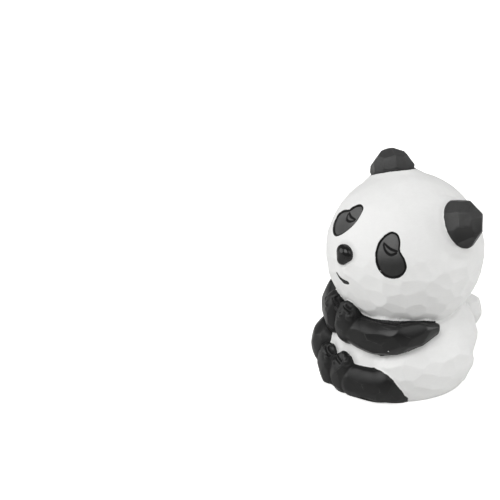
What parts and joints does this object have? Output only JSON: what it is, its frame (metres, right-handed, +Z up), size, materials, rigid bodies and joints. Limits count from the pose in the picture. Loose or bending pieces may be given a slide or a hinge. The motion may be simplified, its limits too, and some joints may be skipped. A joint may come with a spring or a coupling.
{
  "type": "panda figurine",
  "caption": "Round seated panda figurine with closed eyes and folded paws, cast in one piece with a chisel-cut surface, standing on a flat base.",
  "frame": {"origin": "middle of the flat underside that the figurine stands on", "axes": "+Z up, -Y towards the panda's front, +X towards the panda's left side"},
  "size_m": [0.0452, 0.0483, 0.059],
  "materials": {
    "painted_resin": "matte white paint, with satin black paint on ears, eye patches, nose, mouth, arms and legs"
  },
  "bodies": {
    "root": {"panda": "painted_resin"}
  },
  "joints": []
}
